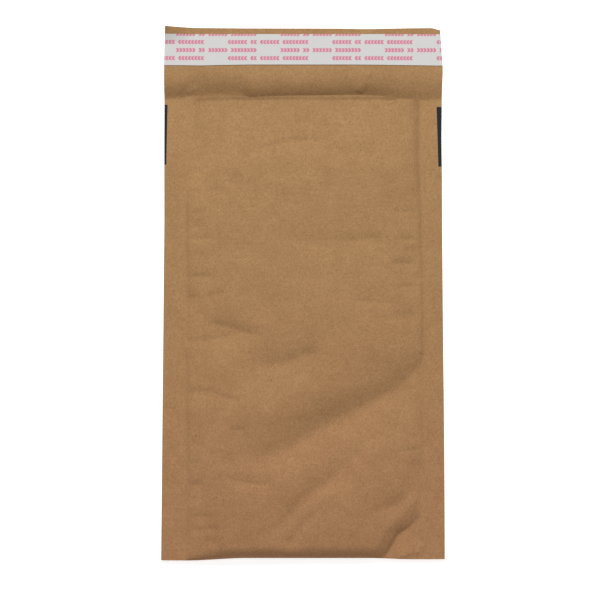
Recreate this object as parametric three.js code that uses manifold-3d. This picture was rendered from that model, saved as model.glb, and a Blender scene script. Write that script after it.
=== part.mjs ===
// A padded mailing envelope, empty, lying on its back with the flap folded open.
// One sheet of brown kraft paper makes the back, the front and the flap: it turns up at the bottom
// fold, and the front is glued to the back along both sides. A pouch of bubble film lines the pocket.
// The flap carries a strip of adhesive under a peel-off release liner.
//
// Millimetres, +Z up. The origin is the middle of the footprint, on the surface that the envelope
// lies on. -Y is the bottom fold, +Y the flap, and the front of the envelope faces up.

import * as THREE from 'three';
import { mergeVertices } from 'three/addons/utils/BufferGeometryUtils.js';
import Module from 'manifold-3d';

// ---------- Driving dimensions ----------

const LENGTH = 289.6; // from the bottom fold to the free edge of the flap
const HALF_WIDTH = 75.2; // at the flap and the mouth
const FOLD_HALF_WIDTH = 76.7; // at the bottom fold: the sides spread a little towards it
const SPREAD_START_Y = 10;
const HEIGHT = 10.8; // of the pocket, lying down, with nothing in it
const PAPER = 0.3;
const CLEARANCE = 0.2; // between the paper and the lining
const LAYER_GAP = 0.1; // between the flap, the adhesive and the liner

const FOLD_Y = -LENGTH / 2;
const FLAP_EDGE_Y = LENGTH / 2;
const MOUTH_Y = 106.2; // the front panel's free edge, where the flap starts

const SEAM_X = 63.5; // the glued side seams run from here out to the edge
const SEAM_LIFT = 1.2; // the seams lie this far above the ground
const SIDE_SWELL = 18; // the pocket swells to its full height over this distance from a seam
const BACK_SWELL = 10; // the back comes down to the ground over this distance from a seam
const FOLD_SWELL = 9; // and the same two distances, measured from the bottom fold
const FOLD_BACK_SWELL = 5;
const FOLD_START = 0.18; // share of the full height that the bottom fold starts from
const SWELL_POWER = 2.2;

const LINING = 2.5; // each layer of bubble film
const LINING_MIN_GAP = 0.4;
const LINING_SETBACK = 3; // of the lining's edge behind the front panel's
const SEAM_WALL = 1; // paper left solid beside a seam and behind the bottom fold
const LINING_SIDE = 3; // from a seam, or the bottom fold, to the lining's edge
const LINING_SEAL = 1.4; // width of the lining's own sealed edge

const FLAP_RISE = 1.9; // the flap rises from the ground to this height, and flattens out
const CORNER_CURL = 1.6; // the flap's left corner stands up by this much more
const CORNER_CURL_REACH = 22;
const LINER_LOW_Y = 123.4;
const LINER_HIGH_Y = 140.2;
const LINER_THICKNESS = 0.25;
const ADHESIVE_INSET = 2; // of the adhesive's long edges inside the liner's
const ADHESIVE_END = 73.6; // half the adhesive's length
const ADHESIVE_THICKNESS = 0.25;

const KRAFT_COLOUR = 0xaa835a;
const FILM_COLOUR = 0xdfe4e6;
const ADHESIVE_COLOUR = 0xd9d5c4;
const LINER_COLOUR = 0xd7d7d2;

// ---------- Grid lines that every sheet shares ----------
// Sheets that lie on each other are divided along the same lines, so they stay parallel.

const RIM = 0.15; // the front panel's cut edge, from its top to its bottom corner
const POCKET_END_Y = MOUTH_Y + 1;
const POCKET_SIDE = SEAM_X - SEAM_WALL;
const LINING_HALF = SEAM_X - LINING_SIDE;
const CAVITY_HALF = LINING_HALF - LINING_SEAL;
const LINING_END_Y = MOUTH_Y - LINING_SETBACK;

const RIGHT_LINES = [
  10, 20, 30, 40, SEAM_X - SIDE_SWELL, 49, 52.5, 55.5, CAVITY_HALF - 1.6, CAVITY_HALF,
  LINING_HALF, POCKET_SIDE, SEAM_X, 68, 71.5, ADHESIVE_END, HALF_WIDTH,
];
const LINES_X = [...RIGHT_LINES.map((x) => -x).reverse(), 0, ...RIGHT_LINES];

const LINES_Y = [
  0, SEAM_WALL, LINING_SIDE, LINING_SIDE + LINING_SEAL, 6.6, FOLD_SWELL, 20, 45, 70, 95, 120, 145,
  170, 195, 220, 236,
].map((fromFold) => FOLD_Y + fromFold).concat([
  LINING_END_Y, MOUTH_Y, MOUTH_Y + RIM, POCKET_END_Y, MOUTH_Y + 4, MOUTH_Y + 8, MOUTH_Y + 12.5,
  LINER_LOW_Y, LINER_LOW_Y + ADHESIVE_INSET, LINER_HIGH_Y - ADHESIVE_INSET, LINER_HIGH_Y,
  FLAP_EDGE_Y,
]);

const linesBetween = (lines, low, high) =>
  lines.filter((line) => line > low - 1e-6 && line < high + 1e-6);

// ---------- Shape of the sheets ----------

// Climbs from 0 to 1 as t goes from 0 to 1, steeply at first, and stays at 1.
const swell = (t, power = SWELL_POWER) =>
  1 - (1 - THREE.MathUtils.clamp(t, 0, 1)) ** power;

// Half the envelope's width at y.
const halfWidth = (y) =>
  THREE.MathUtils.lerp(HALF_WIDTH, FOLD_HALF_WIDTH,
    THREE.MathUtils.smoothstep(SPREAD_START_Y - y, 0, SPREAD_START_Y - FOLD_Y));

// A grid line outside the seam moves out with the edge, and the others run straight.
const lineX = (line, y) => {
  const outside = Math.max(0, Math.abs(line) - SEAM_X);
  const spread = (halfWidth(y) - SEAM_X) / (HALF_WIDTH - SEAM_X);
  return Math.sign(line) * (Math.abs(line) + outside * (spread - 1));
};

const fromSeam = (x) => SEAM_X - Math.abs(x);

// Underside of the back panel: flat on the ground, lifted towards the seams and the bottom fold.
const backUnderside = (x, y) =>
  SEAM_LIFT * (1 - swell(fromSeam(x) / BACK_SWELL) * swell((y - FOLD_Y) / FOLD_BACK_SWELL));

// Underside of the whole lower sheet: the back panel, and then the flap, which rises from the
// mouth, flattens out under the liner and curls up at its left corner.
const lowerUnderside = (x, y) => {
  if (y <= MOUTH_Y) return backUnderside(x, y);
  const along = swell((y - MOUTH_Y) / (LINER_LOW_Y - MOUTH_Y), 2);
  const corner = Math.hypot(x + HALF_WIDTH, y - FLAP_EDGE_Y) / CORNER_CURL_REACH;
  return THREE.MathUtils.lerp(backUnderside(x, MOUTH_Y), FLAP_RISE, along)
    + CORNER_CURL * Math.max(0, 1 - corner) ** 2;
};

// Height of the envelope over its own underside: two sheets at the seams, swelling between them.
const pocketHeight = (x, y) => {
  const fold = FOLD_START + (1 - FOLD_START) * swell((y - FOLD_Y) / FOLD_SWELL);
  return 2 * PAPER + (HEIGHT - 2 * PAPER) * swell(fromSeam(x) / SIDE_SWELL) * fold;
};

const lowerTop = (x, y) => lowerUnderside(x, y) + PAPER;
const frontTop = (x, y) => backUnderside(x, y) + pocketHeight(x, y);
const outerTop = (x, y) => (y <= MOUTH_Y ? frontTop(x, y) : lowerTop(x, y));

const STEP_AT_MOUTH = 0.05; // the pocket's floor lies this little above the flap's top
const pocketFloor = (x, y) => lowerTop(x, y) + STEP_AT_MOUTH;
const pocketCeiling = (x, y) => frontTop(x, Math.min(y, MOUTH_Y)) - PAPER;

const liningBottom = (x, y) => pocketFloor(x, y) + CLEARANCE;
const liningTop = (x, y) => pocketCeiling(x, y) - CLEARANCE;
const liningLayer = (x, y) =>
  Math.min(LINING, (liningTop(x, y) - liningBottom(x, y) - LINING_MIN_GAP) / 2);
// The pouch's inside runs on past its mouth at the same heights as at the mouth.
const cavityFloor = (x, y) => {
  const inside = Math.min(y, LINING_END_Y);
  return liningBottom(x, inside) + liningLayer(x, inside);
};
const cavityCeiling = (x, y) => {
  const inside = Math.min(y, LINING_END_Y);
  return liningTop(x, inside) - liningLayer(x, inside);
};

// ---------- Solids ----------

const wasm = await Module();
wasm.setup();

// A sheet or a filling: a box divided along the grid lines, with its underside and its top moved
// to the heights that two functions of (x, y) give.
function slab({ halfX, lowY, highY, underside, top }) {
  const linesX = linesBetween(LINES_X, -halfX, halfX);
  const linesY = linesBetween(LINES_Y, lowY, highY);
  const nx = linesX.length - 1;
  const ny = linesY.length - 1;
  const box = new THREE.BoxGeometry(nx, ny, 1, nx, ny, 1);
  const position = box.attributes.position;
  for (let i = 0; i < position.count; i += 1) {
    const y = linesY[Math.round(position.getY(i) + ny / 2)];
    const x = lineX(linesX[Math.round(position.getX(i) + nx / 2)], y);
    const height = position.getZ(i) > 0 ? top(x, y) : underside(x, y);
    position.setXYZ(i, x, y, height);
  }
  box.deleteAttribute('normal');
  box.deleteAttribute('uv');
  return mergeVertices(box, 1e-5);
}

function toSolid(geometry) {
  return new wasm.Manifold(new wasm.Mesh({
    numProp: 3,
    vertProperties: new Float32Array(geometry.attributes.position.array),
    triVerts: new Uint32Array(geometry.index.array),
  }));
}

function toGeometry(solid) {
  const { vertProperties, triVerts } = solid.getMesh();
  const geometry = new THREE.BufferGeometry();
  geometry.setAttribute('position', new THREE.BufferAttribute(vertProperties, 3));
  geometry.setIndex(new THREE.BufferAttribute(triVerts, 1));
  return geometry;
}

// The outer body less the hollow inside it, which opens at the mouth.
const hollowed = (outer, inside) => toGeometry(toSolid(slab(outer)).subtract(toSolid(slab(inside))));

function piece(name, geometry, color, roughness) {
  geometry.computeVertexNormals();
  const material = new THREE.MeshStandardMaterial({ color, roughness, metalness: 0 });
  const mesh = new THREE.Mesh(geometry, material);
  mesh.name = name;
  return mesh;
}

// ---------- The envelope's pieces ----------

// Back, front and flap, one folded sheet of kraft paper.
function paperShell() {
  const outer = {
    halfX: HALF_WIDTH, lowY: FOLD_Y, highY: FLAP_EDGE_Y, underside: lowerUnderside, top: outerTop,
  };
  const pocket = {
    halfX: POCKET_SIDE, lowY: FOLD_Y + SEAM_WALL, highY: POCKET_END_Y,
    underside: pocketFloor, top: pocketCeiling,
  };
  return piece('paper_shell', hollowed(outer, pocket), KRAFT_COLOUR, 0.85);
}

// A pouch of bubble film, folded at the bottom and sealed up both sides, open at the mouth.
function bubbleLining() {
  const outer = {
    halfX: LINING_HALF, lowY: FOLD_Y + LINING_SIDE, highY: LINING_END_Y,
    underside: liningBottom, top: liningTop,
  };
  const cavity = {
    halfX: CAVITY_HALF, lowY: FOLD_Y + LINING_SIDE + LINING_SEAL, highY: MOUTH_Y,
    underside: cavityFloor, top: cavityCeiling,
  };
  return piece('bubble_lining', hollowed(outer, cavity), FILM_COLOUR, 0.35);
}

// A flat strip that lies on the flap, from `lift` to `lift + thickness` above its top.
const stripOnFlap = ({ halfX, lowY, highY, lift, thickness }) => slab({
  halfX, lowY, highY,
  underside: (x, y) => lowerTop(x, y) + lift,
  top: (x, y) => lowerTop(x, y) + lift + thickness,
});

function adhesiveStrip() {
  return piece('adhesive_strip', stripOnFlap({
    halfX: ADHESIVE_END, lowY: LINER_LOW_Y + ADHESIVE_INSET, highY: LINER_HIGH_Y - ADHESIVE_INSET,
    lift: LAYER_GAP, thickness: ADHESIVE_THICKNESS,
  }), ADHESIVE_COLOUR, 0.3);
}

function releaseLiner() {
  return piece('release_liner', stripOnFlap({
    halfX: HALF_WIDTH, lowY: LINER_LOW_Y, highY: LINER_HIGH_Y,
    lift: 2 * LAYER_GAP + ADHESIVE_THICKNESS, thickness: LINER_THICKNESS,
  }), LINER_COLOUR, 0.45);
}

const envelope = new THREE.Group();
envelope.name = 'padded_envelope';
const pocket = new THREE.Group();
pocket.add(paperShell(), bubbleLining());
const closure = new THREE.Group();
closure.add(adhesiveStrip(), releaseLiner());
envelope.add(pocket, closure);

export default envelope;
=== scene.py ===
"""A padded kraft envelope, empty, lying on its back with its flap folded open.

One sheet of brown paper makes the back, the front and the flap. A pouch of bubble film lines the
pocket, and a strip of adhesive lies on the flap under its release liner. Shapes are worked out in
millimetres, in the frame's own axes, and turned to metres as each mesh is made. The front of the
envelope faces up (+Z), the bottom fold is at -Y and the flap at +Y.
"""

import bpy
import numpy as np
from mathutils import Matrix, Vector


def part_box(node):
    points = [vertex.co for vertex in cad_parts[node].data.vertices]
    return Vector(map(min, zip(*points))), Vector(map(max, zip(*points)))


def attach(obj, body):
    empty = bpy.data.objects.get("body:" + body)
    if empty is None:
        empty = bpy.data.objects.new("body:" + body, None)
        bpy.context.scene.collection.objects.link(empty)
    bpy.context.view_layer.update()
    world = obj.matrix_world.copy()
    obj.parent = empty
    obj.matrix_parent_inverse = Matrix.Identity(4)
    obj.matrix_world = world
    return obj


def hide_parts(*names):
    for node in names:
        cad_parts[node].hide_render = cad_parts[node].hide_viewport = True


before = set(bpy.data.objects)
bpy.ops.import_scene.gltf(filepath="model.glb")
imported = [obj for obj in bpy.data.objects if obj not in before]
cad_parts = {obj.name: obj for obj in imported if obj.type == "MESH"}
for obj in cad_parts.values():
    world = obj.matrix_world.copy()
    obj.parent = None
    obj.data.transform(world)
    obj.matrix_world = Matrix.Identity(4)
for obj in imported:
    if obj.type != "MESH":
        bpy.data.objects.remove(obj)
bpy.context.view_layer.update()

MM = 0.001


def corners(node):
    """Lowest and highest corner of a frame node, in millimetres."""
    low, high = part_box(node)
    return np.array(low) / MM, np.array(high) / MM


SHELL_LOW, SHELL_HIGH = corners("paper_shell")
LINING_LOW, LINING_HIGH = corners("bubble_lining")
LINER_LOW, LINER_HIGH = corners("release_liner")
ADHESIVE_LOW, ADHESIVE_HIGH = corners("adhesive_strip")

# ---------- Sizes, in millimetres ----------

LINING_SETBACK = 3.0  # of the lining's edges behind the mouth and the seams

FOLD_Y, FLAP_Y = SHELL_LOW[1], SHELL_HIGH[1]
MOUTH_Y = LINING_HIGH[1] + LINING_SETBACK
SEAM_X = LINING_HIGH[0] + LINING_SETBACK
LINER_Y = (LINER_LOW[1], LINER_HIGH[1])
HALF_WIDTH = LINER_HIGH[0]
FOLD_HALF_WIDTH = SHELL_HIGH[0]

LEFT_SPREAD_Y, RIGHT_SPREAD_Y = 40.0, 75.0  # where each side starts to spread to the bottom fold
LEFT_SPREAD = 1.15  # the left side's spread, as a share of the right one's
WAIST, WAIST_Y, WAIST_REACH = 0.26, 84.0, 14.0  # the right side draws in a little here
FOLD_PULL, FOLD_PULL_REACH = 1.3, 32.0  # how far the full middle draws the bottom fold in
FOLD_EASE, FOLD_EASE_X, FOLD_EASE_REACH = 0.5, 36.0, 24.0  # the share it lets go on the right
FLAP_DRAW_FROM = 10.0  # above the mouth
LEFT_FLAP_DRAW, RIGHT_FLAP_DRAW = 0.7, 1.4  # how far the flap's sides draw in at its free edge
BULGE, BULGE_Y, BULGE_REACH = 0.35, 121.0, 6.0  # the flap's right side stands out a little here

PAPER = 0.25
SEAM_LIFT = 1.2  # of the seams above the ground
MOUTH_FADE = 30.0  # the seams come down to the ground over this distance below the mouth
LEFT_SEAM_IN = 0.3  # where the seams lie, measured from SEAM_X
RIGHT_SEAM_OUT, RIGHT_SEAM_LEAN = 1.8, 1.9
LEAN_FROM_Y, LEAN_REACH = -10.0, 90.0
SEAM_GAP = 0.04  # between the glued layers
SEAM_RIDGE, SEAM_RIDGE_OUT, SEAM_RIDGE_REACH = 0.10, 0.5, 0.45  # a thin raised line outside a seam
LINING_ROOM, LINING_ROOM_REACH = 0.66, 2.5  # the front rises by this much at least for the lining
BACK_SWELL = 10.0
FOLD_BACK_SWELL = 5.0
MARGIN_DROOP, DROOP_WAVINESS, DROOP_LENGTH = 0.55, 0.35, 60.0

CREST = 8.4  # how far the middle of the front stands over the seams
SIDE_WALL = 1.1  # of it, the part that rises right beside a seam
SIDE_WALL_REACH = 1.2
SIDE_ROUND = 10.0
LOOSE_WALL, LOOSE_REACH, LOOSE_POWER = 2.4, 1.9, 0.6  # more of each where the pad is loose
LOOSE_FROM_Y, LOOSE_FADE = 35.0, 35.0
LOOSE_PLACE_Y, LOOSE_PLACE_REACH = -110.0, 8.0
GENTLE_WALL, GENTLE_ROUND = 0.9, 7.0  # less wall, and a round start, where the rise is gentle
GENTLE_FROM_Y, GENTLE_FADE = 50.0, 35.0
FOLD_WALL = 5.8
FOLD_WALL_REACH = 7.6
FOLD_RISE = 45.0
RELIEF_SHARE = 0.75  # of the height, the most that folds and puckers may take away
MOUTH_DIP, MOUTH_DIP_REACH = 1.6, 40.0
MOUTH_STEP, MOUTH_STEP_FROM, MOUTH_STEP_REACH = 0.32, 2.0, 0.8  # a pressed line beside the mouth
MOUTH_LIP, MOUTH_LIP_REACH = 0.14, 1.4
LIP_END, RIGHT_LIP_END, LIP_FADE = 2.0, 8.0, 6.0  # both stop before the seams, sooner on the right

FLAP_RISE = 2.75
RIGHT_FLAP_LESS, LEFT_FLAP_MORE = 0.4, 0.35
RIGHT_END_X, RIGHT_END_REACH = 40.0, 14.0
LEFT_END_X, LEFT_END_REACH = -56.0, 10.0
FLAP_BEND, RIGHT_BEND_MORE = 13.0, 2.5
BEND_POWER = 2.3
CORNER_CURL, CORNER_CURL_SIZE = 2.6, (18.0, 11.0)

# Cells of the paper's mesh. Sheets that can be seen close up have FINE cells for each plain one.
FINE = 3
CELLS_INSIDE = 54
CELLS_MARGIN = 5
CELLS_POCKET = 107
CELLS_FLAP = 16


# ---------- Small helpers for shapes ----------

def smooth(t):
    """3t^2 - 2t^3, with t held between 0 and 1."""
    t = np.clip(t, 0.0, 1.0)
    return t * t * (3.0 - 2.0 * t)


def arc(t):
    """sqrt(1 - (1 - t)^2), with t held between 0 and 1: a quarter circle."""
    return np.sqrt(1.0 - (1.0 - np.clip(t, 0.0, 1.0)) ** 2)


def swell(t, power=2.2):
    """1 - (1 - t)^power, with t held between 0 and 1: a steep start that levels out."""
    return 1.0 - (1.0 - np.clip(t, 0.0, 1.0)) ** power


def waves(x, y, length, seed, count=18):
    """Sum of sine waves in all directions, with wavelengths near `length`, scaled to about +-1."""
    draw = np.random.default_rng(seed)
    total = np.zeros(np.broadcast(x, y).shape)
    for _ in range(count):
        angle, phase = draw.uniform(0.0, 2.0 * np.pi, 2)
        k = 2.0 * np.pi / (length * draw.uniform(0.7, 1.5))
        total += np.sin(k * (x * np.cos(angle) + y * np.sin(angle)) + phase)
    return total / np.sqrt(count)


def smooth_route(points, steps=7):
    """A Catmull-Rom curve through the points, with `steps` short lines to each span."""
    p = np.array(points, float)
    p = np.vstack([2.0 * p[0] - p[1], p, 2.0 * p[-1] - p[-2]])
    t = np.linspace(0.0, 1.0, steps, endpoint=False)[:, None]
    spans = [
        0.5 * (2.0 * b + (c - a) * t + (2.0 * a - 5.0 * b + 4.0 * c - d) * t**2
               + (3.0 * b - a - 3.0 * c + d) * t**3)
        for a, b, c, d in zip(p, p[1:], p[2:], p[3:])
    ]
    return np.vstack(spans + [p[-2:-1]])


def beside(x, y, route):
    """Distance of each point from a route, positive on its left, and how far along it is, 0 to 1."""
    nearest = np.full(x.shape, 1e9)
    side = np.zeros(x.shape)
    along = np.zeros(x.shape)
    last = len(route) - 1
    for i, (a, b) in enumerate(zip(route, route[1:])):
        step = b - a
        dx, dy = x - a[0], y - a[1]
        t = np.clip((dx * step[0] + dy * step[1]) / (step @ step), 0.0, 1.0)
        gap = np.hypot(dx - t * step[0], dy - t * step[1])
        closer = gap < nearest
        nearest = np.where(closer, gap, nearest)
        side = np.where(closer, np.sign(step[0] * dy - step[1] * dx), side)
        along = np.where(closer, (i + t) / last, along)
    return nearest * np.where(side < 0.0, -1.0, 1.0), along


def fold(x, y, points, depth, above, below, soft=0.5, start=0.25, end=0.25):
    """A valley pressed along a route that runs left to right.

    -depth x e^(-distance / reach), where the reach is `above` on the side of +Y and `below` on the
    other, rounded at the bottom over `soft`, and fading over the first `start` and the last `end`
    of the route. A negative depth makes a ridge.
    """
    gap, along = beside(x, y, smooth_route(points))
    reach = np.where(gap > 0.0, above, below)
    fade = smooth(along / max(start, 1e-6)) * smooth((1.0 - along) / max(end, 1e-6))
    return -depth * fade * np.exp(-(np.hypot(gap, soft) - soft) / reach)


def table_line(x, table):
    """Straight runs between the table's pairs of x and value."""
    places, values = np.array(table, float).T
    return np.interp(x, places, values)


def mound(x, y, centre, size, height):
    """height x e^-(r^2), an oval rise with half-axes `size`."""
    return height * np.exp(-(((x - centre[0]) / size[0]) ** 2) - ((y - centre[1]) / size[1]) ** 2)


# ---------- Outline of the paper ----------

# How far each edge lies from its straight line, in pairs of x and distance.
MOUTH_EDGE = [(-75, 0.3), (-45, 0.1), (-34, -0.3), (-28, -0.9), (-20, -0.5), (-7, -0.1), (30, 0.3),
              (42, -0.3), (52, -1.7), (75, -1.8)]
FLAP_EDGE = [(-75, -0.75), (-67, -1.2), (-60, -1.5), (-30, -1.75), (0, -1.8), (20, -1.85), (32, -2.1),
             (38, -2.1), (46, -1.85), (58, -1.6), (70, -1.5), (72.5, -1.8), (73.8, -2.6)]
LINER_EDGE = [(-75, -0.3), (-55, -0.45), (-45, -0.2), (-28, 0.05), (28, 0.05), (55, -0.2), (75, -0.5)]

# The flap's bend, in pairs of x and value: where it starts, from the mouth, and how softly.
BEND_START = [(-75, -1.8), (-66, -1.2), (-58, 0.0), (-44, 0.4), (-34, 0.1), (-27, -0.9), (-20, -0.2),
              (10, 0.0), (30, 0.5), (44, 0.0), (54, -1.9), (75, -1.9)]
BEND_SOFTNESS = [(-75, 0.13), (-66, 0.13), (-58, 0.22), (-36, 0.24), (-29, 0.02), (16, 0.02),
                 (28, 0.08), (75, 0.10)]


def half_width(x, y):
    """The sides run straight down at first and then spread a little to the bottom fold.

    The left one spreads evenly and the right one by 3t^2 - 2t^3, which also has a slight waist.
    """
    start = np.where(x > 0.0, RIGHT_SPREAD_Y, LEFT_SPREAD_Y)
    share = np.clip((start - y) / (start - FOLD_Y), 0.0, 1.0)
    spread = np.where(x > 0.0, smooth(share), LEFT_SPREAD * share)
    waist = np.where(x > 0.0, WAIST * np.exp(-(((y - WAIST_Y) / WAIST_REACH) ** 2)), 0.0)
    return HALF_WIDTH + (FOLD_HALF_WIDTH - HALF_WIDTH) * spread - waist


def fold_line(x):
    """The bottom fold, drawn in by FOLD_PULL from the left seam on, and by less of it on the right."""
    pull = FOLD_PULL * smooth((x + SEAM_X - 1.0) / FOLD_PULL_REACH)
    return FOLD_Y + pull * (1.0 - FOLD_EASE * smooth((x - FOLD_EASE_X) / FOLD_EASE_REACH))


def mouth_line(x):
    """The front panel's cut edge, nearly straight, a little lower on the right."""
    return MOUTH_Y + table_line(x, MOUTH_EDGE)


def flap_line(x):
    """The flap's free edge: the left corner reaches highest, and the right one is cut round."""
    return FLAP_Y + table_line(x, FLAP_EDGE)


def flap_half_width(x, y):
    """The flap's sides draw in towards its free edge by t^2, more on the right, which also bulges."""
    draw_in = np.where(x > 0.0, RIGHT_FLAP_DRAW, LEFT_FLAP_DRAW)
    bulge = np.where(x > 0.0, BULGE * np.exp(-(((y - BULGE_Y) / BULGE_REACH) ** 2)), 0.0)
    t = np.clip((y - MOUTH_Y - FLAP_DRAW_FROM) / (FLAP_Y - MOUTH_Y - FLAP_DRAW_FROM), 0.0, 1.0)
    return HALF_WIDTH + bulge - draw_in * t ** 2


def liner_line(x):
    """The liner's lower edge, a little lower towards both ends."""
    return LINER_Y[0] + table_line(x, LINER_EDGE)


def adhesive_line(x):
    """The adhesive's lower edge, straight."""
    return ADHESIVE_LOW[1] + 0.0 * x


def right_end(x):
    """0 over most of the flap, 1 at its right end."""
    return smooth((x - RIGHT_END_X) / RIGHT_END_REACH)


def left_end(x):
    """0 over most of the flap, 1 at its left end."""
    return smooth((LEFT_END_X - x) / LEFT_END_REACH)


def flap_bend(x, y):
    """Share of the flap's rise, 0 where it leaves the ground near the mouth, 1 where it is level.

    1 - (1 - t)^2.3, where t starts at 0 with no slope of its own wherever the bend is soft.
    """
    t = (y - MOUTH_Y - table_line(x, BEND_START)) / (FLAP_BEND + RIGHT_BEND_MORE * right_end(x))
    soft = table_line(x, BEND_SOFTNESS)
    return swell(np.hypot(np.clip(t, 0.0, None), soft) - soft, BEND_POWER)


# ---------- Heights of the sheets ----------

def from_seam(x, y):
    """Distance inside the nearer side seam. The right one leans in towards the mouth."""
    right = SEAM_X + RIGHT_SEAM_OUT - RIGHT_SEAM_LEAN * smooth((y - LEAN_FROM_Y) / LEAN_REACH)
    return np.minimum(x + SEAM_X - LEFT_SEAM_IN, right - x)


def outside_seam(x, y):
    """0 at a seam, 1 at the envelope's side."""
    return np.clip(-from_seam(x, y) / (half_width(x, y) - SEAM_X), 0.0, 1.0)


def seam_share(y):
    """1 along the pocket, falling to 0 at the mouth, where the seams lie on the ground too."""
    return 1.0 - smooth((y - MOUTH_Y + MOUTH_FADE) / MOUTH_FADE)


def back_underside(x, y):
    """Flat on the ground, lifted at the seams and the bottom fold; the margins droop a little."""
    lift = 1.0 - swell(from_seam(x, y) / BACK_SWELL) * swell((y - FOLD_Y) / FOLD_BACK_SWELL)
    uneven = 1.0 + DROOP_WAVINESS * waves(0.0 * x, y, DROOP_LENGTH, 3)
    droop = MARGIN_DROOP * outside_seam(x, y) ** 1.5 * uneven
    return (SEAM_LIFT * lift - droop) * seam_share(y)


# The pad ends short of the bottom right corner, along this line, and only flat paper is left there.
CORNER_EDGE = [(43.0, -147.5), (46.3, -140.5), (48.9, -135.8), (52.2, -130.6), (57.9, -127.1),
               (62.2, -122.2), (66.0, -116.5), (73.0, -108.0)]

# The wall along that line, as a share of the pad's height and a distance for each of its parts.
PAD_STEP, PAD_WALL, PAD_SLOPE = (0.2, 0.9), (0.5, 8.0), (0.3, 26.0)
CORNER_LIFT = 0.55  # of the flat paper, by which it stands over the seams
CORNER_LIFT_REACH, CORNER_SIDE_REACH = 5.0, 3.0  # from the bottom fold, and from the seam
CREASE_ABOVE, CREASE_BELOW = 7.0, 0.9

# Raised creases in that flat paper: route and height.
CORNER_CREASES = [
    ([(50.0, -144.2), (55.0, -142.3), (60.0, -140.4)], 0.5),
    ([(60.0, -142.0), (63.0, -139.8), (65.8, -135.2)], 0.4),
]

# Folds in the front panel: route, depth, reach above, reach below, and then, where they aren't
# the usual ones, the roundness of the bottom and the shares of the route that it fades in and out.
FOLDS = [
    # the long slanting hollow across the lower half
    ([(-48.0, -89.6), (-34.0, -89.2), (-12.1, -86.0), (2.7, -77.4), (18.2, -68.6), (36.0, -60.2),
      (52.0, -50.8), (61.6, -41.4), (70.0, -33.0)], 4.1, 9.0, 16.0, 3.6, 0.45, 0.4),
    ([(34.0, -62.0), (52.0, -50.8), (60.6, -41.6), (67.0, -36.0)], 1.2, 3.6, 8.0, 0.8, 0.6, 0.02),
    # the slanting hollow below it, with a small ridge at its lower side
    ([(-24.0, -137.5), (-14.5, -127.8), (-6.6, -119.0), (2.0, -109.8), (11.7, -103.4), (21.0, -94.8),
      (31.0, -84.8), (42.0, -75.0)], 2.1, 6.5, 10.0, 1.8, 0.35, 0.42),
    ([(-9.5, -141.0), (-6.5, -134.0), (0.6, -124.6), (8.2, -116.9), (16.5, -109.5)],
     0.95, 2.6, 7.0, 0.9, 0.25, 0.45),
    # the hollow that runs from the right seam above the flattened corner
    ([(28.0, -124.0), (41.6, -117.0), (50.5, -113.4), (56.5, -109.2), (61.5, -104.0), (69.0, -98.0),
      (84.0, -88.0)], 2.1, 8.0, 8.5, 1.4, 0.3, 0.02),
    # across the middle
    ([(-26.0, 76.8), (-17.5, 79.3), (-10.0, 81.3), (-4.5, 82.2), (4.0, 82.0), (16.0, 82.8)],
     0.36, 1.2, 10.0, 0.4, 0.2, 0.2),
    ([(-14.0, 29.0), (0.0, 26.8), (15.0, 27.2), (28.0, 28.0), (38.0, 29.2), (51.0, 31.0)],
     0.8, 9.0, 12.0, 1.5),
    ([(24.0, 28.3), (37.5, 29.4), (49.5, 31.0)], 0.12, 1.0, 4.0),
    ([(-54.0, -15.8), (-46.0, -17.5), (-40.5, -18.8), (-35.0, -20.4), (-28.5, -22.2), (-18.0, -22.6)],
     1.3, 3.6, 12.0, 1.3),
    ([(-63.0, -26.0), (-51.0, -25.4), (-43.0, -23.4), (-35.0, -22.3)], 0.4, 1.6, 6.0, 0.4, 0.05),
    ([(-42.0, -38.0), (-27.0, -39.5), (-15.0, -39.0), (-5.0, -36.8), (6.0, -32.0), (18.0, -29.5)],
     1.5, 6.5, 14.0, 2.0, 0.4, 0.35),
    ([(27.5, -3.6), (37.5, -4.8), (54.0, -5.4)], 0.25, 1.1, 4.0),
    ([(42.0, -13.2), (50.0, -12.4), (56.0, -12.2), (64.0, -12.7)], 0.6, 4.0, 18.0, 1.0),
    ([(-63.0, -54.2), (-51.0, -53.2), (-42.5, -56.0), (-32.0, -60.7)], 0.6, 2.6, 6.0, 0.5, 0.05),
    ([(-41.0, -74.0), (-30.0, -73.3)], 0.35, 1.5, 6.0),
    ([(-66.0, -6.5), (-56.0, -5.0), (-46.0, -4.0)], 0.8, 7.0, 16.0, 2.0, 0.02, 0.5),
    ([(-66.0, -106.0), (-56.0, -105.0), (-48.0, -104.0)], 0.9, 9.0, 16.0, 2.0, 0.02, 0.5),
    ([(-43.0, -99.4), (-33.0, -101.8), (-22.0, -103.0), (-15.0, -101.4)], 0.55, 2.4, 6.0),
]

# The whole front's slight waviness: height, wavelength, seed.
WAVINESS = [(0.09, 34.0, 11), (0.045, 13.0, 12), (0.02, 5.0, 13)]

# Low mounds between the folds: centre, half-axes, height.
MOUNDS = [((-24.0, -62.0), (22.0, 10.0), 0.8), ((12.0, -53.0), (15.0, 9.0), 0.55)]

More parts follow.
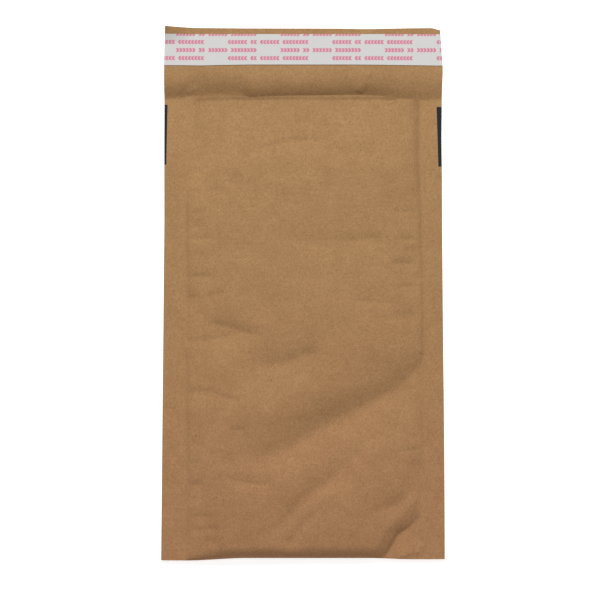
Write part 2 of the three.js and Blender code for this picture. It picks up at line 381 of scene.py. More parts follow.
# Short puckers that start at a seam: where they start, where they end, depth, reach above.
PUCKERS = [
    ((-63.0, 66.5), (-54.0, 65.5), 0.22, 1.0), ((-63.0, 55.0), (-55.0, 54.4), 0.28, 1.0),
    ((-51.0, 56.0), (-41.0, 55.4), 0.20, 1.5), ((-41.0, 58.0), (-33.5, 65.0), 0.35, 2.2),
    ((-62.5, 44.0), (-50.0, 43.0), 0.18, 1.2), ((-61.0, 35.6), (-51.0, 35.0), 0.25, 1.0),
    ((-63.0, 29.0), (-47.0, 29.6), 0.28, 1.3), ((-60.5, 21.6), (-53.0, 20.6), 0.25, 1.2),
    ((-63.0, 8.8), (-46.5, 8.9), 0.42, 1.7), ((-62.5, -2.6), (-56.0, -2.2), 0.40, 1.0),
    ((-54.0, -2.6), (-40.0, 0.8), 0.40, 1.8), ((-59.5, -12.1), (-50.5, -9.6), 0.28, 0.9),
    ((-62.5, -33.5), (-52.0, -34.5), 0.22, 2.0), ((-63.0, -44.0), (-50.0, -45.5), 0.18, 2.5),
    ((-62.5, -80.0), (-51.0, -84.0), 0.38, 2.2), ((-62.0, -91.8), (-54.0, -91.2), 0.28, 1.4),
    ((-63.0, -103.2), (-53.0, -103.2), 0.42, 1.6), ((-63.0, -111.0), (-53.0, -111.5), 0.22, 2.0),
    ((-63.0, -121.2), (-45.0, -120.4), 0.45, 2.3), ((-63.0, -128.8), (-43.0, -126.4), 0.50, 1.7),
    ((-54.0, -132.4), (-44.5, -135.6), 0.45, 1.2),
    ((46.0, 43.2), (61.0, 43.6), 0.22, 1.5), ((50.0, 29.0), (63.0, 29.2), 0.32, 1.2),
    ((53.0, 23.0), (63.5, 23.3), 0.38, 2.0), ((46.0, 16.4), (62.5, 15.5), 0.48, 1.3),
    ((58.0, 8.2), (64.0, 9.6), 0.30, 1.5), ((45.0, 3.4), (63.5, 3.2), 0.32, 1.3),
    ((51.0, -53.0), (64.0, -51.0), 0.32, 0.9), ((58.0, -78.0), (64.0, -76.8), 0.28, 1.5),
    ((51.0, -85.8), (64.2, -84.4), 0.35, 1.2), ((56.0, -92.5), (64.0, -93.5), 0.28, 1.6),
]


def front_relief(x, y):
    """The sum of the front panel's waviness, folds, mounds and puckers."""
    total = 0.0
    for height, length, seed in WAVINESS:
        total = total + height * waves(x, y, length, seed)
    for route, depth, above, below, *rest in FOLDS:
        total = total + fold(x, y, route, depth, above, below, *rest)
    for centre, size, height in MOUNDS:
        total = total + mound(x, y, centre, size, height)
    for start, end, depth, above in PUCKERS:
        total = total + fold(x, y, [start, end], depth, above, 4.0 * above, 0.35, 0.3, 0.3)
    return total


def pad_edge(x, y):
    """0 on the flat paper in the bottom right corner, 1 on the pad, with a wall between.

    The sum of step x (1 - e^(-gap / reach)), wall x (1 - (1 - gap / reach)^1.4) and
    slope x (1 - e^(-gap / reach)), where gap is the distance inside the corner's line.
    """
    gap, _ = beside(x, y, smooth_route(CORNER_EDGE))
    gap = np.clip(gap, 0.0, None)
    wall = PAD_WALL[0] * swell(gap / PAD_WALL[1], 1.4)
    slope = PAD_SLOPE[0] * (1.0 - np.exp(-gap / PAD_SLOPE[1]))
    return PAD_STEP[0] * (1.0 - np.exp(-gap / PAD_STEP[1])) + (wall + slope)


def inside_seam(x, y):
    """Distance inside the nearer side seam, and 0 outside both."""
    return np.clip(from_seam(x, y), 0.0, None)


def above_fold(x, y):
    """Distance above the bottom fold."""
    return np.clip(y - fold_line(x), 0.0, None)


def looseness(x, y):
    """1 where the pad is loose beside the right seam: near the mouth and in a place lower down."""
    lower_down = np.exp(-(((y - LOOSE_PLACE_Y) / LOOSE_PLACE_REACH) ** 2))
    return np.where(x > 0.0, np.maximum(smooth((y - LOOSE_FROM_Y) / LOOSE_FADE), lower_down), 0.0)


def gentleness(x, y):
    """1 where the pad comes up gently beside the left seam: near the mouth."""
    return np.where(x < 0.0, smooth((y - GENTLE_FROM_Y) / GENTLE_FADE), 0.0)


def side_rise(x, y):
    """0 at a side seam, 1 well inside: a steep low wall and then a round shoulder.

    wall x (1 - e^-((d / reach)^power)) + (1 - wall) x (1 - e^(-d / SIDE_ROUND)). The wall is
    higher and wider where the pad is loose. Where it is gentle, the wall is low and the shoulder's
    d is sqrt(d^2 + r^2) - r, which starts with no slope.
    """
    d, loose, gentle = inside_seam(x, y), looseness(x, y), gentleness(x, y)
    wall = SIDE_WALL / CREST * (1.0 + LOOSE_WALL * loose - GENTLE_WALL * gentle)
    reach = SIDE_WALL_REACH * (1.0 + LOOSE_REACH * loose)
    across = wall * (1.0 - np.exp(-((d / reach) ** (1.0 + LOOSE_POWER * loose))))
    inward = np.hypot(d, GENTLE_ROUND * gentle) - GENTLE_ROUND * gentle
    return across + (1.0 - wall) * (1.0 - np.exp(-inward / SIDE_ROUND))


def fold_rise(x, y, across):
    """0 at the bottom fold, 1 well above it: a quarter-round wall and then a long slope."""
    e = above_fold(x, y)
    upward = FOLD_WALL / CREST * arc(e / (FOLD_WALL_REACH * (0.2 + 0.8 * across)))
    return upward + (1.0 - FOLD_WALL / CREST) * swell(e / FOLD_RISE, 2.0)


def mouth_lip(x, y):
    """Two small steps up, one at a pressed line below the mouth and one at its cut edge."""
    lip = MOUTH_STEP * smooth((y - MOUTH_Y + MOUTH_STEP_FROM) / MOUTH_STEP_REACH)
    lip = lip + MOUTH_LIP * smooth((y - mouth_line(x) + MOUTH_LIP_REACH) / MOUTH_LIP_REACH)
    return lip * smooth((SEAM_X - LIP_END - np.maximum(-x, x + RIGHT_LIP_END)) / LIP_FADE)


def front_rise(x, y):
    """Height of the front panel over the seams.

    (CREST - dip) x side rise x fold rise, plus the relief, which tanh holds to a share of that
    height, plus the mouth's lip. All of it is on the pad, and the flat corner has a low lift.
    """
    across = side_rise(x, y)
    dip = MOUTH_DIP * smooth((y - MOUTH_Y + MOUTH_DIP_REACH) / MOUTH_DIP_REACH)
    body = (CREST - dip) * across * fold_rise(x, y, across)
    room = RELIEF_SHARE * body + 0.01
    pad = pad_edge(x, y)
    flat = CORNER_LIFT * (1.0 - pad) * swell(above_fold(x, y) / CORNER_LIFT_REACH, 1.6)
    flat = flat * smooth(inside_seam(x, y) / CORNER_SIDE_REACH)
    return (body + room * np.tanh(front_relief(x, y) / room) + mouth_lip(x, y)) * pad + flat


def raised_back(x, y):
    """The back panel's underside, and past the mouth the flap's, which bends up to its level."""
    start = back_underside(x, np.minimum(y, MOUTH_Y))
    level = FLAP_RISE - RIGHT_FLAP_LESS * right_end(x) + LEFT_FLAP_MORE * left_end(x)
    return start + (level - start) * flap_bend(x, y)


def front_top(x, y):
    """The front panel's top: the back plus the rise, or the seams' level where that is higher.

    A thin ridge e^(-d^2) runs along the outside of each seam, and creases cross the flat corner.
    """
    back = raised_back(x, y)
    gap, share = from_seam(x, y), seam_share(y)
    level = SEAM_LIFT * share + LINING_ROOM * (1.0 - share) * smooth(gap / LINING_ROOM_REACH)
    level = np.where(gap > 0.0, level, back)
    ridge = SEAM_RIDGE * np.exp(-(((gap + SEAM_RIDGE_OUT) / SEAM_RIDGE_REACH) ** 2))
    ridge = ridge * (0.9 - 0.6 * smooth(y / 90.0)) * smooth((MOUTH_Y - y) / 4.0)
    for route, height in CORNER_CREASES:
        ridge = ridge + fold(x, y, route, -height, CREASE_ABOVE, CREASE_BELOW, 0.2, 0.2, 0.2)
    return np.maximum(back + front_rise(x, y), level) + ridge + 2.0 * PAPER + SEAM_GAP


# Thin raised creases across the flap: route and height.
FLAP_CREASES = [
    ([(28.0, 107.6), (31.5, 112.5), (34.6, 117.0), (37.4, 123.0)], 0.35),
    ([(30.3, 107.6), (33.0, 111.5), (36.3, 115.8)], 0.40),
    ([(59.8, 107.0), (60.6, 114.0), (61.0, 122.0)], 0.16),
    ([(-67.0, 107.5), (-66.2, 114.0), (-66.6, 122.0)], 0.16),
    ([(-66.0, 110.0), (-63.8, 115.0), (-60.5, 119.5)], 0.2),
    ([(-64.0, 108.5), (-60.0, 109.6), (-54.0, 112.5)], 0.2),
]


def lower_underside(x, y):
    """The back panel and then the flap, with its curled corner and its creases.

    The curl is CORNER_CURL x (1 - r)^1.5, where r is the distance from the left corner.
    """
    reach = np.hypot((x + HALF_WIDTH) / CORNER_CURL_SIZE[0], (y - FLAP_Y) / CORNER_CURL_SIZE[1])
    lift = CORNER_CURL * np.clip(1.0 - reach, 0.0, None) ** 1.5
    for route, height in FLAP_CREASES:
        crease = fold(x, y, route, -height, 0.8, 0.9, 0.15, 0.2, 0.3)
        lift = lift + crease * smooth((y - MOUTH_Y) / 3.0)
    return raised_back(x, y) + lift


def lower_top(x, y):
    """The upper side of the same sheet."""
    return lower_underside(x, y) + PAPER


# ---------- Meshes ----------

SHARP_EDGE = 50.0


def add_mesh(name, points, faces, materials, face_material=None):
    """A mesh object from points in millimetres and triangles or quads by number."""
    mesh = bpy.data.meshes.new(name)
    mesh.from_pydata(points * MM, [], faces)
    for material in materials:
        mesh.materials.append(material)
    if face_material is not None:
        mesh.polygons.foreach_set("material_index", np.asarray(face_material, np.int32))
    mesh.polygons.foreach_set("use_smooth", np.full(len(mesh.polygons), True))
    mesh.set_sharp_from_angle(angle=np.radians(SHARP_EDGE))
    mesh.validate()
    mesh.update()
    made = bpy.data.objects.new(name, mesh)
    bpy.context.scene.collection.objects.link(made)
    return made


class Sheets:
    """Patches of points in rows and columns, joined edge to edge into one closed mesh."""

    def __init__(self):
        self.points, self.faces, self.marks, self.count = [], [], [], 0

    def patch(self, x, y, z, mark, down=False):
        """Adds a grid of quads whose rows go up in y. Returns the points' numbers as a grid."""
        ids = self.count + np.arange(x.size).reshape(x.shape)
        self.points.append(np.stack([x, y, z], -1).reshape(-1, 3))
        self.count += x.size
        a, b, c, d = ids[:-1, :-1], ids[:-1, 1:], ids[1:, 1:], ids[1:, :-1]
        quads = np.stack([a, d, c, b] if down else [a, b, c, d], -1).reshape(-1, 4)
        self.faces += quads.tolist()
        self.marks += [mark] * len(quads)
        return ids

    def join(self, one, other, mark, turn=False):
        """Fills the strip between two rows of points, whose lengths may differ by a whole ratio.

        The sparse row's cell i meets the dense row's cells i x ratio to (i + 1) x ratio, by a fan
        of triangles about its first point, one about its last, and one that has both.
        """
        if len(one) < len(other):
            one, other, turn = other, one, not turn
        ratio = (len(one) - 1) // (len(other) - 1)
        start = np.arange(len(other) - 1)
        if ratio == 1:
            strips = [np.stack([one[:-1], one[1:], other[1:], other[:-1]], -1)]
        else:
            half = ratio // 2
            strips = [np.stack([other[1:], other[:-1], one[start * ratio + half]], -1)]
            for k in range(ratio):
                apex = other[:-1] if k < half else other[1:]
                dense = one[start * ratio + k], one[start * ratio + k + 1]
                strips.append(np.stack([dense[1], apex, dense[0]], -1))
        for strip in strips:
            self.faces += (strip[:, ::-1] if turn else strip).tolist()
            self.marks += [mark] * len(strip)

    def face(self, *ids, mark):
        """One face from its points' numbers."""
        self.faces.append(list(ids))
        self.marks.append(mark)


def column_lines(fine):
    """Column places across the sheet, as (x inside the seams, share of the margin outside)."""
    inside = np.linspace(-SEAM_X, SEAM_X, CELLS_INSIDE * fine + 1)
    margin = np.linspace(0.0, 1.0, CELLS_MARGIN * fine + 1)[1:]
    none = np.zeros_like(margin)
    return (np.concatenate([none - SEAM_X, inside, none + SEAM_X]),
            np.concatenate([-margin[::-1], np.zeros_like(inside), margin]))


def sheet_grid(rows, fine):
    """Grid of x and row shares for a patch: columns across, with the margins out to the sides."""
    inner, outer = column_lines(fine)
    return np.meshgrid(rows, np.arange(len(inner)), indexing="ij")[0], inner[None, :], outer[None, :]


def pocket_points(fine):
    """x and y of a patch that runs from the bottom fold to the mouth line."""
    v, inner, outer = sheet_grid(np.linspace(0.0, 1.0, CELLS_POCKET * fine + 1), fine)
    y = FOLD_Y + v * (MOUTH_Y - FOLD_Y)
    x = inner + outer * (half_width(outer, y) - SEAM_X)
    start = fold_line(x)
    return x, start + v * (mouth_line(x) - start)


def flap_points(fine):
    """x and y of a patch that runs from the mouth to the flap's free edge."""
    v, inner, outer = sheet_grid(np.linspace(0.0, 1.0, CELLS_FLAP * fine + 1), fine)
    x = inner + outer * (HALF_WIDTH - SEAM_X) + 0.0 * v
    start = mouth_line(x)
    y = start + v * (flap_line(x) - start)
    return x * flap_half_width(x, y) / HALF_WIDTH, y


FRONT_SIDE, INSIDE = 0, 1  # which of the sheet's two finishes a face has


def kraft_sheet(printed, plain):
    """Back, front and flap of one folded sheet, as a closed skin with the paper's thickness.

    The front panel's top and the flap's top have the fine grid, and the other faces a grid whose
    cells are FINE times as wide.
    """
    s = Sheets()
    x, y = pocket_points(FINE)
    top = s.patch(x, y, front_top(x, y), FRONT_SIDE)
    x, y = pocket_points(1)
    under = s.patch(x, y, front_top(x, y) - PAPER, INSIDE, down=True)
    back_in = s.patch(x, y, lower_top(x, y), INSIDE)
    fx, fy = flap_points(1)
    lx, ly = np.vstack([x, fx[1:]]), np.vstack([y, fy[1:]])
    back_out = s.patch(lx, ly, lower_underside(lx, ly), FRONT_SIDE, down=True)
    x, y = flap_points(FINE)
    flap = s.patch(x, y, lower_top(x, y), INSIDE)

    mouth = CELLS_POCKET
    s.join(top[-1], under[-1], INSIDE)
    s.join(top[0], back_out[0], FRONT_SIDE, turn=True)
    s.join(under[0], back_in[0], INSIDE)
    s.join(flap[-1], back_out[-1], INSIDE)
    s.join(back_in[-1], flap[0], INSIDE)
    for side, turn in ((0, False), (-1, True)):
        s.join(top[:, side], under[:, side], FRONT_SIDE, turn=turn)
        s.join(back_in[:, side], back_out[:mouth + 1, side], FRONT_SIDE, turn=turn)
        s.join(flap[:, side], back_out[mouth:, side], INSIDE, turn=turn)
    s.face(under[0, 0], back_in[0, 0], back_out[0, 0], top[0, 0], mark=FRONT_SIDE)
    s.face(top[0, -1], back_out[0, -1], back_in[0, -1], under[0, -1], mark=FRONT_SIDE)
    s.face(back_out[mouth, 0], back_in[-1, 0], flap[0, 0], mark=INSIDE)
    s.face(flap[0, -1], back_in[-1, -1], back_out[mouth, -1], mark=INSIDE)
    return add_mesh("kraft_sheet", np.vstack(s.points), s.faces, [printed, plain], s.marks)


STRIP_CELLS = (24, 160)
STRIP_THICKNESS = 0.08
ADHESIVE_LIFT, ADHESIVE_WANDER = 0.02, 0.15
LINER_LIFT, LINER_TRIM = 0.12, 0.3


def flap_strip(name, low_line, high_y, half, lift, material, wander=0.0):
    """A thin closed band lying on the flap: its underside is the flap's top plus `lift`.

    It runs from a lower line up to high_y, and both edges wander by `wander`.
    """
    v, u = np.meshgrid(np.linspace(0, 1, STRIP_CELLS[0] + 1), np.linspace(-1, 1, STRIP_CELLS[1] + 1),
                       indexing="ij")
    x = half * u
    low = low_line(x)
    y = low + (high_y - low) * v + wander * (2.0 * v - 1.0) * waves(x, 0.0 * x, 9.0, 21)
    x = x * flap_half_width(x, y) / HALF_WIDTH
    z = lower_top(x, y) + lift
    s = Sheets()
    upper = s.patch(x, y, z + STRIP_THICKNESS, 0)
    lower = s.patch(x, y, z, 0, down=True)
    s.join(upper[0], lower[0], 0, turn=True)
    s.join(upper[-1], lower[-1], 0)
    s.join(upper[:, 0], lower[:, 0], 0)
    s.join(upper[:, -1], lower[:, -1], 0, turn=True)
    return add_mesh(name, np.vstack(s.points), s.faces, [material])


LINING_HALF = LINING_HIGH[0]
LINING_SEAL = 1.4  # the width of its joined sides
LINING_CLEARANCE = 0.15
CORNER_SETBACK = 8.0  # of the pouch from the flat corner's line
FILM = 0.15
FILM_GAP = 0.05  # the least space between the two layers
BUBBLE_PITCH = 10.4
BUBBLE_RADIUS = 4.7
BUBBLE_HEIGHT = 2.3
BUBBLE_WALL = 1.7
BUBBLE_DOME = 0.12  # share of the height by which a bubble's middle stands over its rim
BUBBLE_FLATTENED = 0.35  # height share of the bubbles at the mouth
LINING_CELLS = (40, 81)


def bubbles(x, y, shift):
    """Height share, 0 to 1, of round flat-topped bubbles on a triangular lattice.

    Two rectangular lattices, half a cell apart, hold the centres. Each bubble rises steeply over
    BUBBLE_WALL from its rim and has a height of its own, and bubbles near the mouth's cut edge are
    flattened.
    """
    pitch = np.array([BUBBLE_PITCH, BUBBLE_PITCH * np.sqrt(3.0)])
    best, share = np.full(x.shape, 1e9), np.zeros(x.shape)
    for half in (0.0, 0.5):
        cx = (np.round((x - shift) / pitch[0] - half) + half) * pitch[0] + shift
        cy = (np.round(y / pitch[1] - half) + half) * pitch[1]
        r = np.hypot(x - cx, y - cy)
        own = 0.9 + 0.1 * np.sin(12.9 * cx + 78.2 * cy)
        own = own * (BUBBLE_FLATTENED + 0.65 * smooth((LINING_HIGH[1] - cy - 1.5) / 5.0))
        share = np.where(r < best, own, share)
        best = np.minimum(r, best)
    rise = swell((BUBBLE_RADIUS - best) / BUBBLE_WALL, 2.0)
    return share * rise * (1.0 - BUBBLE_DOME * (best / BUBBLE_RADIUS) ** 2)


def lining_points(fine, inset):
    """x and y of one layer of the pouch, drawn in by `inset` at its sides and its fold."""
    rows, columns = LINING_CELLS[1] * fine + 1, LINING_CELLS[0] * fine + 1
    y, u = np.meshgrid(np.linspace(LINING_LOW[1] + inset, LINING_HIGH[1], rows),
                       np.linspace(0.0, 1.0, columns), indexing="ij")
    corner_x, corner_y = np.array(CORNER_EDGE).T
    right = np.minimum(LINING_HALF, np.interp(y, corner_y, corner_x) - CORNER_SETBACK) - inset
    return (inset - LINING_HALF) * (1.0 - u) + right * u, y


def bubble_pouch(film):
    """Two layers of bubble film, joined at the sides and at the fold, with the bubbles inwards."""
    s = Sheets()

    def under(x, y):
        """The pouch's lowest side, just off the back panel."""
        return lower_top(x, y) + LINING_CLEARANCE

    def over(x, y):
        """Its highest side, just under the front panel, with room for two films at least."""
        return np.maximum(front_top(x, y) - PAPER - LINING_CLEARANCE, under(x, y) + 2.0 * FILM + FILM_GAP)

    def layer(x, y, shift):
        """A film and its bubbles, as high as half the room between the two films."""
        room = np.clip(over(x, y) - under(x, y) - 2.0 * FILM - FILM_GAP, 0.0, None) / 2.0
        return FILM + np.minimum(BUBBLE_HEIGHT, room) * bubbles(x, y, shift)

    x, y = lining_points(1, 0.0)
    top_out = s.patch(x, y, over(x, y), 0)
    low_out = s.patch(x, y, under(x, y), 0, down=True)
    x, y = lining_points(FINE, LINING_SEAL)
    top_in = s.patch(x, y, over(x, y) - layer(x, y, 0.0), 0, down=True)
    low_in = s.patch(x, y, under(x, y) + layer(x, y, BUBBLE_PITCH / 2.0), 0)
    s.join(top_out[-1], top_in[-1], 0)
    s.join(low_in[-1], low_out[-1], 0)
    s.join(top_out[0], low_out[0], 0, turn=True)
    s.join(low_in[0], top_in[0], 0, turn=True)
    for side, turn in ((0, False), (-1, True)):
        s.join(top_out[:, side], low_out[:, side], 0, turn=turn)
        s.join(low_in[:, side], top_in[:, side], 0, turn=turn)
    s.face(top_out[-1, 0], top_in[-1, 0], low_in[-1, 0], low_out[-1, 0], mark=0)
    s.face(low_out[-1, -1], low_in[-1, -1], top_in[-1, -1], top_out[-1, -1], mark=0)
    return add_mesh("bubble_pouch", np.vstack(s.points), s.faces, [film])


# ---------- Materials ----------

def srgb(r, g, b):
    """Linear colour from 0-255 screen values."""
    c = np.array([r, g, b], float) / 255.0
    linear = np.where(c <= 0.04045, c / 12.92, ((c + 0.055) / 1.055) ** 2.4)
    return (*linear.tolist(), 1.0)


class Finish:
    """One procedural material, built node by node."""

    def __init__(self, name, roughness, **sockets):
        self.material = bpy.data.materials.new(name)
        self.material.use_nodes = True
        self.tree = self.material.node_tree
        self.shader = self.tree.nodes["Principled BSDF"]
        self.shader.inputs["Roughness"].default_value = roughness
        for socket, value in sockets.items():
            self.shader.inputs[socket.replace("_", " ")].default_value = value
        coordinates = self.tree.nodes.new("ShaderNodeTexCoord")
        self.place = self.mapped(coordinates.outputs["Object"], scale=(1 / MM,) * 3)

    def put(self, value, socket):
        """Links another node's output to the socket, or sets the socket to a plain value."""
        if isinstance(value, bpy.types.NodeSocket):
            self.tree.links.new(value, socket)
        else:
            socket.default_value = value

    def mapped(self, vector, scale=(1, 1, 1), turn=0.0):
        """The vector turned by `turn` degrees about Z and scaled."""
        node = self.tree.nodes.new("ShaderNodeMapping")
        node.inputs["Scale"].default_value = scale
        node.inputs["Rotation"].default_value = (0.0, 0.0, np.radians(turn))
        self.tree.links.new(vector, node.inputs["Vector"])
        return node.outputs["Vector"]

    def noise(self, scale, detail=2.0, roughness=0.5, stretch=(1, 1, 1), turn=0.0):
        """Noise with `scale` cells to a millimetre, pulled out along a turned axis."""
        node = self.tree.nodes.new("ShaderNodeTexNoise")
        node.inputs["Scale"].default_value = scale
        node.inputs["Detail"].default_value = detail
        node.inputs["Roughness"].default_value = roughness
        turned = self.mapped(self.place, turn=turn)
        self.tree.links.new(self.mapped(turned, scale=stretch), node.inputs["Vector"])
        return node.outputs["Fac"]

    def specks(self, scale, size):
        """1 in round specks, each `size` of a cell across, and a random colour for each cell."""
        node = self.tree.nodes.new("ShaderNodeTexVoronoi")
        node.inputs["Scale"].default_value = scale
        self.tree.links.new(self.place, node.inputs["Vector"])
        return self.ramp(node.outputs["Distance"], size, 0.6 * size), node.outputs["Color"]

    def math(self, operation, a, b=0.0, c=0.0):
        """One Math node, over up to three plain values or outputs of other nodes."""
        node = self.tree.nodes.new("ShaderNodeMath")
        node.operation = operation
        for value, socket in zip((a, b, c), node.inputs):
            self.put(value, socket)
        return node.outputs[0]

    def ramp(self, value, low, high, bottom=0.0, top=1.0):
        """Straight rise from `bottom` at `low` to `top` at `high`, level outside."""
        node = self.tree.nodes.new("ShaderNodeMapRange")
        for item, socket in zip((value, low, high, bottom, top), node.inputs):
            self.put(item, socket)
        return node.outputs["Result"]

    def parts(self, vector):
        """The vector's x, y and z."""
        node = self.tree.nodes.new("ShaderNodeSeparateXYZ")
        self.tree.links.new(vector, node.inputs[0])
        return node.outputs

    def blend(self, amount, a, b, mode="MIX"):
        """Colour a with `amount` of colour b on it."""
        node = self.tree.nodes.new("ShaderNodeMix")
        node.data_type = "RGBA"
        node.blend_type = mode
        self.put(amount, node.inputs[0])
        self.put(a, node.inputs[6])
        self.put(b, node.inputs[7])
        return node.outputs[2]

    def colour(self, value):
        """Sets the finish's own colour."""
        self.put(value, self.shader.inputs["Base Color"])

    def bump(self, height, distance):
        """Height in 0-1, which stands for `distance` millimetres."""
        node = self.tree.nodes.new("ShaderNodeBump")
        node.inputs["Strength"].default_value = 1.0
        node.inputs["Distance"].default_value = distance * MM
        self.tree.links.new(height, node.inputs["Height"])
        self.tree.links.new(node.outputs["Normal"], self.shader.inputs["Normal"])


KRAFT = srgb(162, 123, 80)
KRAFT_DARK = srgb(130, 94, 58)
KRAFT_LIGHT = srgb(190, 154, 110)
KRAFT_DRIFT = (1.02, 0.93, 1.01, 1.0)  # the paper's tone turns slightly redder down the sheet
KRAFT_SPECK = srgb(92, 62, 38)
KRAFT_ROUGHNESS = 0.85
KRAFT_GLOSS = 0.2  # specular level: uncoated paper has little
DRIFT_Y = (20.0, -145.0)
CLOUD_SCALE, FIBRE_SCALE = 0.12, 1.6
FIBRE_STRETCH, FIBRE_TURNS = (0.35, 1.6, 1.0), (12.0, 75.0, 132.0)
PALE_FLECKS, DARK_SPECKS = (0.45, 0.09), (0.3, 0.1)  # cells to a millimetre, size in cells
PAPER_GRAIN = 0.035
PRINT_BLACK = srgb(38, 38, 40)

# The printed bars: their ends, where their widths hold, each one's two widths, and then its
# middle and half length.
BAR_Y = (69.0, 101.0)
LEFT_BAR_WIDTHS, RIGHT_BAR_WIDTHS = (1.1, 1.7), (2.0, 2.9)
LEFT_BAR_SPAN, RIGHT_BAR_SPAN = (85.7, 16.3), (84.6, 16.2)


def kraft_base(finish):
    """Brown paper: cloudy formation, fibres lying every way, pale flecks and dark specks."""
    cloud = finish.noise(CLOUD_SCALE, detail=3.0)
    fibres = [finish.noise(FIBRE_SCALE, detail=3.0, roughness=0.7, stretch=FIBRE_STRETCH, turn=turn)
              for turn in FIBRE_TURNS]
    fibre = finish.math("ADD", finish.math("ADD", fibres[0], fibres[1]), fibres[2])
    tone = finish.ramp(fibre, 1.2, 1.8)
    colour = finish.blend(tone, KRAFT_DARK, KRAFT_LIGHT)
    colour = finish.blend(0.55, colour, KRAFT)
    colour = finish.blend(finish.ramp(cloud, 0.35, 0.65, 0.0, 0.16), colour, KRAFT_DARK)
    pale, pick = finish.specks(*PALE_FLECKS)
    chosen = finish.ramp(finish.parts(pick)[0], 0.7, 0.72)
    colour = finish.blend(finish.math("MULTIPLY", pale, chosen), colour, KRAFT_LIGHT)
    dark, pick = finish.specks(*DARK_SPECKS)
    chosen = finish.ramp(finish.parts(pick)[1], 0.8, 0.82, 0.0, 0.8)
    colour = finish.blend(finish.math("MULTIPLY", dark, chosen), colour, KRAFT_SPECK)
    _, along, _ = finish.parts(finish.place)
    drift = finish.ramp(along, *DRIFT_Y)
    colour = finish.blend(drift, colour, KRAFT_DRIFT, mode="MULTIPLY")
    finish.bump(finish.math("ADD", tone, finish.math("MULTIPLY", cloud, 0.4)), PAPER_GRAIN)
    finish.put(finish.ramp(fibre, 1.2, 1.8, 0.92, 0.74), finish.shader.inputs["Roughness"])
    return colour


def kraft_plain():
    """The inner face, with no print."""
    finish = Finish("kraft_plain", KRAFT_ROUGHNESS, Specular_IOR_Level=KRAFT_GLOSS)
    finish.colour(kraft_base(finish))
    return finish.material


def kraft_printed():
    """The outer face, with a black printed bar at each side below the mouth."""
    finish = Finish("kraft_printed", KRAFT_ROUGHNESS, Specular_IOR_Level=KRAFT_GLOSS)
    colour = kraft_base(finish)
    x, y, _ = finish.parts(finish.place)
    right_edge = finish.ramp(y, *BAR_Y, *[HALF_WIDTH - width for width in RIGHT_BAR_WIDTHS])
    left_edge = finish.ramp(y, *BAR_Y, *[width - HALF_WIDTH for width in LEFT_BAR_WIDTHS])
    right = finish.math("GREATER_THAN", x, right_edge)
    left = finish.math("LESS_THAN", x, left_edge)
    right = finish.math("MULTIPLY", right, finish.math("COMPARE", y, *RIGHT_BAR_SPAN))
    left = finish.math("MULTIPLY", left, finish.math("COMPARE", y, *LEFT_BAR_SPAN))
    ink = finish.math("MAXIMUM", left, right)
    finish.colour(finish.blend(ink, colour, PRINT_BLACK))
    return finish.material


LINER_WHITE = srgb(200, 199, 197)
LINER_SHADE = srgb(188, 188, 187)
LINER_INK = srgb(202, 104, 135)

# The liner's rows of chevrons, in millimetres, and below that in shares and numbers of a cell.
MARK_PITCH = 4.35  # from row to row
MARK_ROWS_FROM = 126.9
MARK_HEIGHT = 2.2
MARK_REPEAT = 56.4  # from the start of a run to the start of the next in its row
MARK_START, MARK_ROW_SHIFT = 15.7, -28.0
MARK_CELL = 1.74  # from chevron to chevron
MARK_HALF_WIDTH = 0.41
MARK_BEND, MARK_BEND_SHIFT = 0.9, -0.22
MARK_RUN = 24.5
MARK_BLANKS = (6.0, 9.0, 16.0)


def liner_paper():
    """Silicone-coated paper with rows of small pink chevrons, each second row turned round."""
    finish = Finish("liner_paper", 0.5)
    x, y, _ = finish.parts(finish.place)
    row = finish.math("DIVIDE", finish.math("SUBTRACT", y, MARK_ROWS_FROM), MARK_PITCH)
    number = finish.math("ROUND", row)
    up = finish.math("MULTIPLY", finish.math("SUBTRACT", row, number), MARK_PITCH / MARK_HEIGHT)
    odd = finish.math("PINGPONG", number, 1.0)
    flip = finish.math("MULTIPLY_ADD", odd, 2.0, -1.0)
    shift = finish.math("MULTIPLY_ADD", odd, MARK_ROW_SHIFT, MARK_START)
    along = finish.math("DIVIDE", finish.math("SUBTRACT", x, shift), MARK_REPEAT)
    place = finish.math("MULTIPLY", finish.math("FRACT", along), MARK_REPEAT / MARK_CELL)
    cell = finish.math("FLOOR", place)
    part = finish.math("SUBTRACT", finish.math("FRACT", place), 0.5)
    bent = finish.math("MULTIPLY_ADD", finish.math("ABSOLUTE", up), MARK_BEND, MARK_BEND_SHIFT)
    slant = finish.math("ADD", part, finish.math("MULTIPLY", bent, flip))
    mark = finish.math("COMPARE", slant, 0.0, MARK_HALF_WIDTH)
    mark = finish.math("MULTIPLY", mark, finish.math("COMPARE", up, 0.0, 0.5))
    mark = finish.math("MULTIPLY", mark, finish.math("LESS_THAN", cell, MARK_RUN))
    mark = finish.math("MULTIPLY", mark, finish.math("GREATER_THAN", number, -0.5))
    for gap in MARK_BLANKS:
        blank = finish.math("COMPARE", cell, gap, 0.2)
        mark = finish.math("MULTIPLY", mark, finish.math("SUBTRACT", 1.0, blank))
    mottle = finish.noise(0.25, detail=3.0)
    base = finish.blend(finish.ramp(mottle, 0.3, 0.7, 0.0, 0.2), LINER_WHITE, LINER_SHADE)
    worn = finish.ramp(finish.noise(1.4, detail=3.0), 0.25, 0.7, 0.7, 1.0)
    finish.colour(finish.blend(finish.math("MULTIPLY", mark, worn), base, LINER_INK))
    finish.bump(finish.noise(0.8, detail=4.0), 0.02)
    return finish.material


ADHESIVE_COLOURS = srgb(214, 209, 190), srgb(232, 229, 216)
FILM_COLOURS = srgb(214, 216, 214), srgb(236, 239, 240)


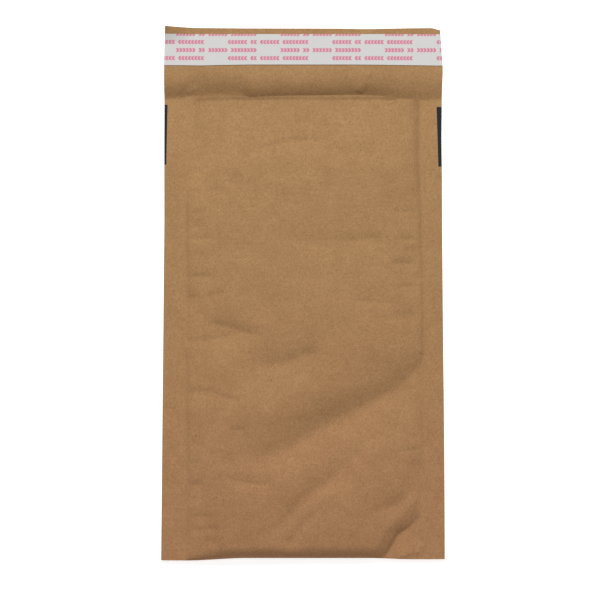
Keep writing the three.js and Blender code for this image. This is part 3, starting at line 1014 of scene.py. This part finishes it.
def adhesive_film():
    """Glossy, cream, with streaks along the strip."""
    finish = Finish("adhesive_film", 0.25)
    streak = finish.noise(0.4, detail=3.0, stretch=(0.2, 2.0, 1.0))
    finish.colour(finish.blend(streak, *ADHESIVE_COLOURS))
    finish.bump(streak, 0.03)
    return finish.material


def bubble_film():
    """Clear film, a little milky, that lets some of the paper behind it through."""
    finish = Finish("bubble_film", 0.14, Alpha=0.5)
    haze = finish.noise(0.15, detail=3.0)
    finish.colour(finish.blend(haze, *FILM_COLOURS))
    finish.bump(finish.noise(0.9, detail=3.0), 0.04)
    return finish.material


WHITE = (1.0, 1.0, 1.0, 1.0)


def studio_floor():
    """White, and faintly lit from within like a light table, so that shadows stay pale."""
    finish = Finish("studio_floor", 0.9, Emission_Color=WHITE, Emission_Strength=0.52)
    finish.colour(srgb(250, 250, 250))
    return finish.material


# ---------- The pieces ----------

def add_pieces():
    """The four pieces, each on the one body and in the place of its own CAD node."""
    sheet = kraft_sheet(kraft_printed(), kraft_plain())
    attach(sheet, "root")
    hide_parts("paper_shell")

    pouch = bubble_pouch(bubble_film())
    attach(pouch, "root")
    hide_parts("bubble_lining")

    strip = flap_strip("adhesive_band", adhesive_line, ADHESIVE_HIGH[1], ADHESIVE_HIGH[0],
                       ADHESIVE_LIFT, adhesive_film(), ADHESIVE_WANDER)
    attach(strip, "root")
    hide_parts("adhesive_strip")

    liner = flap_strip("liner_strip", liner_line, LINER_Y[1] - LINER_TRIM, LINER_HIGH[0],
                       LINER_LIFT, liner_paper())
    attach(liner, "root")
    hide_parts("release_liner")


# The studio, in metres and watts.
FLOOR_HALF, FLOOR_LEVEL = 20.0, -0.00015
WORLD_LIGHT = 0.33
KEY_LAMP = {"place": (-0.1, 2.1, 1.27), "power": 68.0, "size": 0.9}
OVERHEAD_LAMP = {"place": (0.1, 0.1, 1.7), "power": 5.0, "size": 1.0}


def add_studio():
    """A floor just under the envelope, even light all round, and two soft lamps."""
    floor = bpy.data.meshes.new("floor")
    floor.from_pydata([(x * FLOOR_HALF, y * FLOOR_HALF, FLOOR_LEVEL)
                       for x, y in ((-1, -1), (1, -1), (1, 1), (-1, 1))], [], [(0, 1, 2, 3)])
    floor.materials.append(studio_floor())
    ground = bpy.data.objects.new("floor", floor)
    bpy.context.scene.collection.objects.link(ground)

    world = bpy.data.worlds.new("studio")
    world.use_nodes = True
    background = world.node_tree.nodes["Background"]
    background.inputs["Color"].default_value = WHITE
    background.inputs["Strength"].default_value = WORLD_LIGHT
    bpy.context.scene.world = world

    add_lamp("key", **KEY_LAMP)
    add_lamp("overhead", **OVERHEAD_LAMP)


def add_lamp(name, place, power, size):
    """A square lamp turned to the middle of the envelope."""
    lamp = bpy.data.lights.new(name, "AREA")
    lamp.energy = power
    lamp.size = size
    made = bpy.data.objects.new(name, lamp)
    made.location = place
    made.rotation_euler = (Vector((0, 0, 0)) - made.location).to_track_quat("-Z", "Y").to_euler()
    bpy.context.scene.collection.objects.link(made)


LENS = 100.0
SENSOR = 36.0
VIEW_WIDTH = 325.4  # millimetres across the picture, at the height of the paper
VIEW_CENTRE = (-1.7, -3.8)


def add_camera():
    """Straight above the envelope, with the flap at the top of the picture."""
    camera = bpy.data.cameras.new("camera")
    camera.lens = LENS
    camera.sensor_width = SENSOR
    made = bpy.data.objects.new("camera", camera)
    made.location = (VIEW_CENTRE[0] * MM, VIEW_CENTRE[1] * MM, VIEW_WIDTH * MM * LENS / SENSOR)
    bpy.context.scene.collection.objects.link(made)
    bpy.context.scene.camera = made


add_camera()
add_pieces()
add_studio()
bpy.context.scene.view_settings.view_transform = "Standard"
